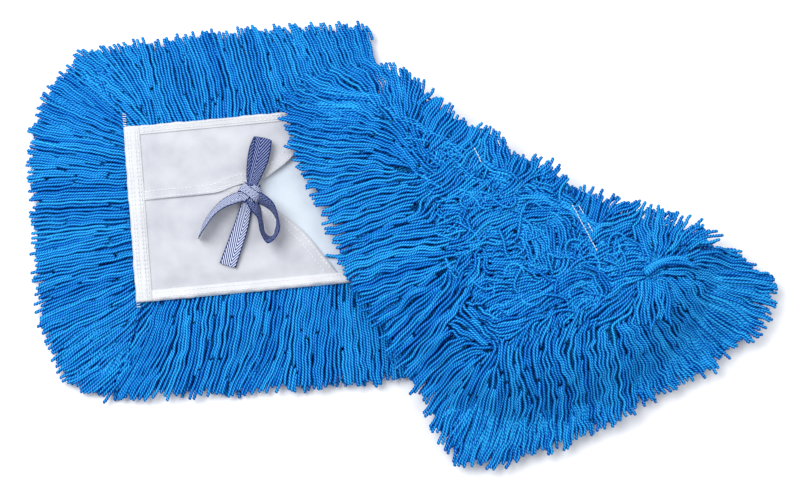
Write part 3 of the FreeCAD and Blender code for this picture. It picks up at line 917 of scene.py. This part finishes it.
def canvas_surface(offset):
    """One side of the canvas sheet: flat, half round the fold and back. offset is its height above the
    sheet's underside."""
    v_rows = np.linspace(0, BACKING_WIDTH, CANVAS_GRID[0])
    share = np.linspace(0, 1, CANVAS_GRID[1])
    u_fold = fold_u(v_rows)[:, None]
    v_all = np.repeat(v_rows[:, None], len(share), 1)
    near_u = share * u_fold
    from_edge = np.minimum(np.minimum(near_u, u_fold - near_u), np.minimum(v_all, BACKING_WIDTH - v_all))
    near_z = CANVAS_BOTTOM + offset + ripple(near_u, v_all, 3, 0.5) * eased(from_edge / 12)
    near = np.stack([near_u, v_all, near_z], -1)
    arc = np.linspace(0, np.pi, BEND_STEPS)[1:-1]
    reach = FOLD_AXIS_Z - CANVAS_BOTTOM - offset
    rim = np.stack([u_fold[:, 0], v_rows, np.full(len(v_rows), FOLD_AXIS_Z)], -1)[:, None]
    bend = rim + reach * (np.sin(arc)[:, None] * fold_outward - np.cos(arc)[:, None] * np.array([0, 0, 1.0]))
    far_u = u_fold + share * (BACKING_LENGTH - u_fold)
    far = folded_over(np.stack([far_u, v_all, np.full_like(far_u, CANVAS_BOTTOM + offset)], -1))
    return np.concatenate([near, bend, far], 1)


canvas_points, canvas_faces = closed_cloth(canvas_surface(CANVAS_TOP - CANVAS_BOTTOM), canvas_surface(0.0))
canvas = add_piece(
    "canvas_backing",
    canvas_points,
    [canvas_faces],
    CANVAS,
    "backing_canvas",
    FOLD_BLEND,
    ["near_backing", "fold_bend", "far_backing"],
)


def cloth_piece(node, half, top, bottom, material, slot):
    """A closed layer of cloth. It is folded over where it belongs to the far half."""
    points, faces = closed_cloth(top, bottom)
    if half == "far":
        points = folded_over(points)
    body = "far_half" if half == "far" else "near_half"
    return add_piece(f"{node}_cloth", points, [faces], material, slot, body, [node])


def band_top(inward, width):
    """The height of a folded band's top, from how far inward of its outer edge a point lies."""
    rounded = BAND_RISE * (1 - np.clip(1 - inward / BAND_ROUNDING, 0, 1) ** 2)
    return CANVAS_TOP + 0.5 + rounded * (1 - 0.6 * eased((inward - width + BAND_SLOPE) / BAND_SLOPE))


def band(node, half, start, finish, width_way, width, inner=1):
    """A folded band of cloth sewn along an edge: a long strip with a rounded, puckered top.

    inner is 1 where its inner edge is the further one along width_way, and 0 where it is the nearer one."""
    start, finish, width_way = np.array([start, finish, width_way], float)
    length = np.linalg.norm(finish - start)
    t = np.linspace(0, 1, int(length / BAND_STEP))[:, None]
    across = np.linspace(0, 1, BAND_COLUMNS)[None, :]
    place = start + (finish - start) * t[..., None] + width_way * width * across[..., None]
    inward = (across if inner else 1 - across) * width
    ragged = np.sin(t * length / 1.9) + np.sin(t * length / 4.3 + 2) + np.sin(t * length / 11)
    place = place + width_way * (0.2 * ragged * (across - inner))[..., None]
    pucker = 0.16 * np.sin(t * length * 2 * np.pi / STITCH_PITCH) * np.sin(across * np.pi)
    top_z = band_top(inward, width) + pucker + ripple(place[..., 0], place[..., 1], 5, 0.3)
    top = np.concatenate([place, top_z[..., None]], -1)
    bottom = np.concatenate([place, np.full((*top_z.shape, 1), CANVAS_TOP + 0.05)], -1)
    return cloth_piece(node, half, top, bottom, BINDING, "binding")


def edge_at(edge, v):
    """How far along u a flap's free edge reaches at each v."""
    line = smooth_path(edge, EDGE_SAMPLES)[20:]
    order = np.argsort(line[:, 1])
    return np.interp(v, line[order, 1], line[order, 0])


def edge_distance(edge, u, v):
    """How far each point is from a flap's free edge."""
    line = smooth_path(edge, 150)
    away = np.stack([u, v], -1)[..., None, :] - line
    return np.linalg.norm(away, axis=-1).min(-1)


# How each flap lies: its free edge, the v it spans, the v it is sewn down at, how high it stands in the
# middle, the height of its waves and how far its free edge curls up.
FLAPS = {
    "upper": {"edge": UPPER_EDGE, "span": (72.3, 121.8), "sewn": 120.5, "rise": 2.1, "wave": 2, "lip": 0.5},
    "lower": {"edge": LOWER_EDGE, "span": (6.2, 80.3), "sewn": 7.6, "rise": 1.25, "wave": 1.3, "lip": 0.1},
}
FLAP_PIECES = {
    # share of the free edge with a hem, flat size in metres, area in square metres
    ("near", "upper"): ((0, 1), (0.1315, 0.0565), 0.0051),
    ("near", "lower"): ((0, 1), (0.1315, 0.0815), 0.0077),
    ("far", "upper"): ((0, 1), (0.1315, 0.0565), 0.0051),
    ("far", "lower"): ((0, 0.55), (0.1315, 0.0815), 0.0050),
    ("fold", "lower"): ((0.7, 1), (0.105, 0.0475), 0.0028),
}


def flap_node(half, which):
    """The CAD node of a flap. The far lower flap is two pieces, parted by the fold."""
    return "fold_flap" if half == "fold" else f"{half}_{which}_flap"


def inward_of(edge, which):
    """Directions from points of a flap's free edge into the flap."""
    along = unit(np.gradient(edge, axis=0))
    return np.stack([-along[:, 1], along[:, 0]], -1) * (1 if which == "upper" else -1)


HEM_STEP = 0.35
SEAM_DENT = 0.16
PUCKER_COUNT = 7
PUCKER_HEIGHT = 0.28


def flap_top(which, u, v, from_edge):
    """The height of a flap's top: low where it is sewn down, a step at its hem, puckers by the knot."""
    kind = FLAPS[which]
    risen = eased(np.minimum(np.abs(v - kind["sewn"]), u - END_HEM_WIDTH + 1) / 9)
    height = CANVAS_TOP + 0.6 + kind["rise"] * risen
    height = height + kind["wave"] * ripple(u, v, 7, 1.0) * risen
    height = height + HEM_STEP * (1 - eased((from_edge - HEM_WIDTH + 0.6) / 0.8))
    for seam in HEM_SEAMS:
        height = height - SEAM_DENT * np.exp(-(((from_edge - seam) / 0.55) ** 2))
    height = height + kind["lip"] * np.exp(-from_edge / 4)
    knot_u, knot_v = u - KNOT[0], v - KNOT[1]
    away = np.hypot(knot_u, knot_v)
    pucker = np.cos(PUCKER_COUNT * np.arctan2(knot_v, knot_u)) * np.exp(-(((away - 15) / 9) ** 2))
    return height + PUCKER_HEIGHT * pucker * risen


def flap(half, which):
    """One flap piece: it reaches from the end hem to the flap's free edge, or on one side to the fold."""
    edge, span = FLAPS[which]["edge"], FLAPS[which]["span"]
    if half == "fold":
        span = (BOTTOM_BAND_WIDTH, FOLD_FLAP_TOP)
    v = np.linspace(*span, FLAP_GRID[0])[:, None]
    sewn, free = END_HEM_WIDTH - 1.5 + 0 * v, edge_at(edge, v)
    if half != "near":
        sewn, free = BACKING_LENGTH - sewn, BACKING_LENGTH - free
    left, right = {
        "near": (sewn, free),
        "far": (np.maximum(free, fold_u(v) + 0.5), sewn),
        "fold": (free, fold_u(v) - 0.5),
    }[half]
    u = left + (right - left) * np.linspace(0, 1, FLAP_GRID[1])
    v = np.repeat(v, u.shape[1], 1)
    near_u = BACKING_LENGTH - u if half != "near" else u
    top = flap_top(which, near_u, v, edge_distance(edge, near_u, v))
    surfaces = [np.stack([u, v, top - drop], -1) for drop in (0, FLAP_THICKNESS * 0.8)]
    return cloth_piece(flap_node(half, which), half, *surfaces, FLAP, "flap_canvas")


def hem(half, which, shares):
    """The turned-under layer of a flap's hem, beneath its free edge."""
    first, last = (int(share * (EDGE_SAMPLES - 1)) for share in shares)
    edge = smooth_path(FLAPS[which]["edge"], EDGE_SAMPLES)[first : last + 1]
    width = np.linspace(0.3, HEM_WIDTH, 7)[None, :, None]
    place = edge[:, None] + inward_of(edge, which)[:, None] * width
    place[..., 1] = np.clip(place[..., 1], BOTTOM_BAND_WIDTH, BACKING_WIDTH - TOP_BAND_WIDTH)
    inset = np.repeat(width[..., 0], len(edge), 0)
    top = flap_top(which, place[..., 0], place[..., 1], inset) - FLAP_THICKNESS
    if half != "near":
        place[..., 0] = BACKING_LENGTH - place[..., 0]
    surfaces = [np.concatenate([place, (top - drop)[..., None]], -1) for drop in (0, HEM_THICKNESS * 0.7)]
    return cloth_piece(f"{flap_node(half, which)}_hem", half, *surfaces, FLAP, "flap_canvas")


def stitching(name, body, rows, nodes=(), far=False, pitch=STITCH_PITCH):
    """Rows of white stitches: each dips into the cloth at both ends. A row is a line of (u, v, z) points."""
    thread = Yarn(len(name))
    for row in rows:
        row = np.asarray(row, float)
        length = distances(row)[-1]
        for start in np.arange(0.4, length - pitch, pitch):
            path = spaced(row, np.linspace(start, start + pitch * 0.76, 5) / length)
            path[:, 2] += np.array([-0.35, 0.05, 0.12, 0.05, -0.35])
            path[:, :2] += thread.rng.normal(0, 0.07, 2)
            thread.strand(path, step=0.55, radius=0.3)
    return thread.done(name, body, *nodes, far=far, material=THREAD, slot="thread")


def straight(start, finish, z):
    """A level row of stitches between two (u, v) points."""
    return np.array([(*start, z), (*finish, z)])


def on_flap(which, inset, half):
    """A line a little inside a flap's free edge, on its upper surface."""
    edge = smooth_path(FLAPS[which]["edge"], 110)[:-3]
    line = edge + inward_of(edge, which) * inset
    height = flap_top(which, line[:, 0], line[:, 1], np.full(len(line), inset))
    if half != "near":
        line[:, 0] = BACKING_LENGTH - line[:, 0]
    return np.column_stack([line, height + 0.12])


def on_band(inward, width):
    """The height of stitches on a band."""
    return band_top(inward, width) + 0.15


def along_band(start, finish, v, inward, width):
    """A row of stitches along a top or bottom band, at a distance inward of its outer edge."""
    return straight((start, v), (finish, v), on_band(inward, width))


def along_end_hem(u, inward):
    """A row of stitches along an end hem."""
    return straight((u, 2), (u, BACKING_WIDTH - 2), on_band(inward, END_HEM_WIDTH))


far_end_u = BACKING_LENGTH - END_HEM_WIDTH
upper_v, lower_v = BACKING_WIDTH - TOP_BAND_WIDTH, BOTTOM_BAND_WIDTH
hem_across = ((1, 0), END_HEM_WIDTH)
top_across = ((0, 1), TOP_BAND_WIDTH, 0)
bottom_across = ((0, 1), BOTTOM_BAND_WIDTH)
bands = [
    band("near_end_hem", "near", (0, 0), (0, BACKING_WIDTH), *hem_across),
    band("far_end_hem", "far", (far_end_u, 0), (far_end_u, BACKING_WIDTH), *hem_across, 0),
    band("near_top_band", "near", (END_HEM_WIDTH, upper_v), (FOLD_TOP_U - 1, upper_v), *top_across),
    band("far_top_band", "far", (fold_u(upper_v) + 1, upper_v), (far_end_u, upper_v), *top_across),
    band("near_bottom_band", "near", (END_HEM_WIDTH, 0), (fold_u(lower_v) - 1, 0), *bottom_across),
    band("far_bottom_band", "far", (FOLD_BOTTOM_U + 1, 0), (far_end_u, 0), *bottom_across),
]
flap_keys = [(half, which) for which in FLAPS for half in ("near", "far", "fold")]
flaps = {key: flap(*key) for key in flap_keys if key in FLAP_PIECES}
sewn_to_flap = {key: [hem(*key, shares)] for key, (shares, _, _) in FLAP_PIECES.items()}

# Stitch lines on the end hems, as distances from the cloth's end, and then those along the other bands.
HEM_ROWS = {"outer": (2.6, 4.4), "inner": (7.8, 9.6)}
for place, us in HEM_ROWS.items():
    lines = [along_end_hem(u, u) for u in us]
    node = f"near_end_hem_stitch_{place}"
    stitching(f"near_end_hem_stitching_{place}", "near_half", lines, [node])

band_start = END_HEM_WIDTH + 1.5
lines = [along_band(band_start, FOLD_TOP_U - 3, BACKING_WIDTH - d, d, TOP_BAND_WIDTH) for d in (1.9, 4.6)]
stitching("near_top_band_stitching", "near_half", lines, ["near_top_band_stitch"])
lines = [along_band(band_start, fold_u(d) - 6, d, d, BOTTOM_BAND_WIDTH) for d in (2.0, 5.5)]
stitching("near_bottom_band_stitching", "near_half", lines, ["near_bottom_band_stitch"])
lines = [along_end_hem(BACKING_LENGTH - u, u) for us in HEM_ROWS.values() for u in us]
stitching("far_end_hem_stitching", "far_half", lines, ["far_end_hem_stitch"], far=True)
lines = [along_band(fold_u(v) + 3, far_end_u - 2, v, 2, 7) for v in (2.0, 5.5, 122.4, 125.1)]
stitching("far_band_stitching", "far_half", lines, far=True)

for (half, which), sewn in sewn_to_flap.items():
    if half != "fold":
        # The far lower flap's stitches end where the fold parts it.
        count = 60 if (half, which) == ("far", "lower") else None
        lines = [on_flap(which, inset, half)[:count] for inset in HEM_SEAMS]
        name = f"{half}_{which}_flap_stitching"
        sewn.append(stitching(name, f"{half}_half", lines, far=half == "far"))

# Overcast stitches where the hem's corners are drawn onto the fringe: short rungs beyond the canvas.
RUNG_Z = 14.2
corner_rungs = [(BACKING_WIDTH + 1.6 + 1.7 * k, -0.8) for k in range(6)]
corner_rungs += [(-1.6 - 1.7 * k, 0.8) for k in range(2)]
lines = [straight((-0.5, v), (3.7, v + slant), RUNG_Z) for v, slant in corner_rungs]
stitching("near_corner_stitching", "near_half", lines, pitch=3.4)

# White rows that hold the face yarn of the far half, seen where the yarn parts.
ROW_STITCHES = [
    [((310.5, 36), (324.5, 1)), ((315, 35), (318.5, 27)), ((320, 22), (323, 14.5))],
    [((246.5, 83), (251, 71))],
]
for number, rows in enumerate(ROW_STITCHES, 1):
    lines = [straight(start, finish, ROW_STITCH_Z) for start, finish in rows]
    node = f"far_row_stitch_{number}"
    stitching(f"far_row_stitching_{number}", "far_half", lines, [node], pitch=2.3)

# ---------------------------------------------------------------- ties


def tape_places(along, across):
    """Where each point of a layer of tape lies along and across it."""
    return {"along": np.tile(np.repeat(along, len(across)), 2), "across": np.tile(across, 2 * len(along))}


def tape(name, path, width_ways, widths, body, nodes, material=TAPE, samples=60):
    """Tape along a path of (u, v, z) points, with its widths and the directions across it. Returns its
    piece and its length in metres."""
    knots, shares = np.linspace(0, 1, len(path)), np.linspace(0, 1, samples)
    centre = smooth_path(path, samples)
    ways = unit(np.stack([np.interp(shares, knots, part) for part in np.array(width_ways).T], -1))
    wide = np.interp(shares, knots, widths)
    ahead = unit(np.gradient(centre, axis=0))
    normal = unit(np.cross(ahead, ways))
    across = np.linspace(-1, 1, TAPE_COLUMNS)
    place = centre[:, None] + ways[:, None] * (across[None, :] * wide[:, None] / 2)[..., None]
    cup = normal[:, None] * (0.35 * (across**2))[None, :, None]
    half_thick = normal[:, None] * (TAPE_THICKNESS / 2 * (1 - 0.6 * np.abs(across) ** 6))[None, :, None]
    points, faces = closed_cloth(place + cup + half_thick, place + cup - half_thick)
    along = distances(centre)
    values = tape_places(along, across)
    return add_piece(name, points, [faces], material, "tape", body, nodes, **values), along[-1] / 1000


def from_knot(points, angle, knot=KNOT):
    """Points given as (out, left, z) from a knot, turned to a direction in degrees."""
    turn = math.radians(angle)
    out, left = np.array([math.cos(turn), math.sin(turn)]), np.array([-math.sin(turn), math.cos(turn)])
    points = np.asarray(points, float)
    return np.column_stack([knot + points[:, :1] * out + points[:, 1:2] * left, points[:, 2]])


def sideways(angle, leans):
    """Directions across a tape that runs at an angle, each turned a little within the tape's plane."""
    return [(-math.sin(math.radians(angle + d)), math.cos(math.radians(angle + d)), 0) for d in leans]


def leaning(path, tilts):
    """Directions across a tape that stands on its edge and leans to its left, in degrees from upright."""
    path = np.asarray(path, float)
    ahead = unit(np.gradient(path[:, :2], axis=0))
    tilts = np.radians(tilts)[:, None]
    left = np.column_stack([-ahead[:, 1], ahead[:, 0]])
    return np.column_stack([left * np.sin(tilts), np.cos(tilts)])


def lowest_at(path, ways, widths, floor_z):
    """Raises each point of a standing tape so that its lower edge rests at floor_z."""
    path = np.array([(*p[:2], 0.0) for p in path])
    ways = unit(np.asarray(ways))
    path[:, 2] = floor_z + 0.5 + np.asarray(widths) / 2 * np.abs(ways[:, 2])
    return path


def near_tape(part, path, ways, widths, *look):
    """A loop or tail of the near bow, on its own body."""
    tape(f"near_tie_{part}_tape", path, ways, widths, f"near_{part}", [f"near_tie_{part}"], *look)


LOOP_ANGLE = 72
loop_path = [(5, 0, 20.5), (14, 1.6, 19.0), (28, 2.2, 18.9), (37, 1.4, 19.1), (40.6, 0.3, 21.3)]
loop_path += [(37.5, -0.8, 23.3), (27, -1.6, 23.6), (15, -1.0, 23.4), (5, 0, 22.6)]
loop_ways = sideways(LOOP_ANGLE, [0, 4, 4, 3, 0, -3, -4, -4, 0])
loop_widths = [6.5, 9, 11, 12.5, 12.5, 12.5, 12, 9.5, 7]
near_tape("upper_loop", from_knot(loop_path, LOOP_ANGLE), loop_ways, loop_widths, TAPE_NAVY, 90)

TAIL_ANGLE = 248.5
tail_path = [(5, 0, 21), (12, 0, 19.2), (24, 0.6, 18.8), (38, 0.2, 18.7), (54, -0.4, 18.6)]
tail_ways = sideways(TAIL_ANGLE, [0, 0, 1, 0, -1])
near_tape("lower_tail", from_knot(tail_path, TAIL_ANGLE), tail_ways, [6.5, 9.5, 11, 11.5, 12])


def standing_tape(part, path, tilts, widths, *look):
    """Tape of the near bow that stands on its edge on the flaps."""
    ways = leaning(path, tilts)
    near_tape(part, lowest_at(path, ways, widths, CLOTH_TOP), ways, widths, *look)


left_path = [(82.5, 68), (75.5, 66.2), (66, 62), (56, 53), (48, 40)]
standing_tape("left_tail", left_path, [75, 50, 30, 24, 8], [8, 10.5, 12, 12, 11.5])
right_path = [(86, 66), (89.5, 58), (92.5, 49), (93.5, 40), (97, 34.6), (102, 38), (104, 47), (101, 57)]
right_path += [(94, 64), (88, 67)]
right_tilts = [-60, -42, -14, -14, -34, -22, -8, -20, -38, -60]
right_widths = [8, 11, 12, 12, 12.5, 12, 12, 12, 10, 8]
standing_tape("right_loop", right_path, right_tilts, right_widths, TAPE_NAVY, 110)


def knot_piece(half, knot, height, wraps):
    """A bow's knot: bands of tape that arch over one another.

    Each wrap is its direction, half length and width, and its share of the height."""
    start, all_points, all_faces, places = 0, [], [], []
    for angle, half_length, width, share in wraps:
        t, across = (np.linspace(-1, 1, count) for count in KNOT_GRID)
        out = np.sign(t) * np.abs(t) ** 0.8 * half_length
        z = CLOTH_TOP + 0.3 + (height * share - 0.6) * np.clip(1 - np.abs(t) ** 2.6, 0, 1) ** 0.5
        centre = from_knot(np.column_stack([out, 0 * t, z]), angle, knot)
        way = np.array(sideways(angle, [0])[0])
        ahead = unit(np.gradient(centre, axis=0))
        normal = unit(np.cross(ahead, way))
        narrow = 1 - 0.25 * (1 - t**2)
        place = centre[:, None] + way * (across[None, :] * width / 2 * narrow[:, None])[..., None]
        crown = -0.5 * np.abs(across) ** 2.5
        upper = place + normal[:, None] * (crown + TAPE_THICKNESS / 2)[None, :, None]
        lower = place + normal[:, None] * (crown - TAPE_THICKNESS / 2)[None, :, None]
        wrap_points, faces = closed_cloth(upper, lower)
        all_points.append(wrap_points)
        all_faces.append(faces + start)
        start += len(wrap_points)
        places.append(tape_places(t * half_length * 1.2, across))
    values = {key: np.concatenate([place[key] for place in places]) for key in places[0]}
    points, faces = np.concatenate(all_points), [np.concatenate(all_faces)]
    if half == "far":
        points = folded_over(points)
    name, node = f"{half}_tie_knot_tape", f"{half}_tie_knot"
    return add_piece(name, points, faces, TAPE, "tape", f"{half}_half", [node], **values)


knot = knot_piece("near", KNOT, 7.2, [(72, 7.5, 11.5, 0.72), (20, 7.8, 10, 0.86), (138, 8.2, 8.5, 1.0)])


def pressed_tape(part, angle, path, widths):
    """Tape of the far bow, pressed flat between the two halves."""
    far_path = folded_over(from_knot(path, angle, FAR_KNOT))
    ways = folded_over(np.array(sideways(angle, [0] * len(path))) + fold_start) - fold_start
    name, node = f"far_tie_{part}_tape", f"far_tie_{part}"
    tape(name, far_path, ways, widths, "far_half", [node], samples=50)


# The far bow's loops lie double, with one layer at each of two heights, and its tails lie single.
LOW_Z, HIGH_Z = CLOTH_TOP + 0.7, CLOTH_TOP + 2.3
TAIL_Z = CLOTH_TOP + 0.6
pressed_loop = [(6, 0, LOW_Z), (18, 0.8, LOW_Z), (35, 0.6, LOW_Z), (39, 0, (LOW_Z + HIGH_Z) / 2)]
pressed_loop += [(35, -0.6, HIGH_Z), (18, -0.8, HIGH_Z), (6, 0, HIGH_Z)]
for part, angle in (("first_loop", 128), ("second_loop", -38)):
    pressed_tape(part, angle, pressed_loop, [7, 11, 12.5, 12, 12.5, 11, 7])
pressed_tape("first_tail", 73, [(6, 0, TAIL_Z), (22, 1, TAIL_Z), (42, 0, TAIL_Z)], [7, 12, 12])
pressed_tape("second_tail", 17, [(6, 0, TAIL_Z), (24, -1, TAIL_Z), (48, 0, TAIL_Z)], [7, 12, 12])
far_knot = knot_piece("far", FAR_KNOT, 3.4, [(50, 7, 10, 0.8), (160, 7.5, 8.5, 1.0)])

loose = Yarn(49)
loose.strand(smooth_path([(135.5, 20.5, 16.9), (143, 19.2, 16.4), (151, 20.5, 16.4), (156, 21, 16.8)], 24))
loose_strand = loose.done("near_loose_strand_yarn", "near_half", "near_loose_strand")

# ---------------------------------------------------------------- each flap's sewn pieces, looked up and not used

for key, obj in flaps.items():
    sewn = sewn_to_flap[key]

# ---------------------------------------------------------------- floor, light and camera

bpy.ops.mesh.primitive_plane_add(size=6, location=(0, 0, -0.0006))
floor = bpy.context.object
floor.name = "floor_plane"
n = Nodes("pale_floor", Roughness=0.9)
n.colour(n.ramp(n.noise(3), (0.3, (0.93, 0.935, 0.945)), (0.7, (0.95, 0.953, 0.96))))
floor.data.materials.append(n.material)

world = bpy.data.worlds.new("studio")
bpy.context.scene.world = world
world.use_nodes = True
world.node_tree.nodes["Background"].inputs["Color"].default_value = (0.95, 0.97, 1.0, 1)
world.node_tree.nodes["Background"].inputs["Strength"].default_value = 0.6


def softbox(name, place, target, size, power):
    """A square area light that faces its target."""
    light = bpy.data.lights.new(name, "AREA")
    light.size = size
    light.energy = power
    obj = bpy.data.objects.new(name, light)
    obj.location = place
    obj.rotation_euler = (Vector(target) - Vector(place)).to_track_quat("-Z", "Y").to_euler()
    bpy.context.collection.objects.link(obj)


softbox("key_softbox", (-1.0, 0.75, 1.8), (0, 0, 0), 1.5, 44)
softbox("fill_softbox", (1.4, 0.2, 1.8), (0, 0, 0), 1.6, 14)

CAMERA_TARGET = Vector((-0.0010, -0.0024, 0.015))
CAMERA_DISTANCE = 1.5
CAMERA_ELEVATION = math.radians(80)
CAMERA_TURN = math.radians(5.5)
camera_data = bpy.data.cameras.new("camera")
camera_data.sensor_width = 36
camera_data.lens = 95.4
camera = bpy.data.objects.new("camera", camera_data)
bpy.context.collection.objects.link(camera)
level = math.cos(CAMERA_ELEVATION)
away = Vector((-math.sin(CAMERA_TURN) * level, -math.cos(CAMERA_TURN) * level, math.sin(CAMERA_ELEVATION)))
camera.location = CAMERA_TARGET + away * CAMERA_DISTANCE
camera.rotation_euler = (-away).to_track_quat("-Z", "Y").to_euler()
bpy.context.scene.camera = camera
bpy.context.scene.view_settings.view_transform = "Standard"
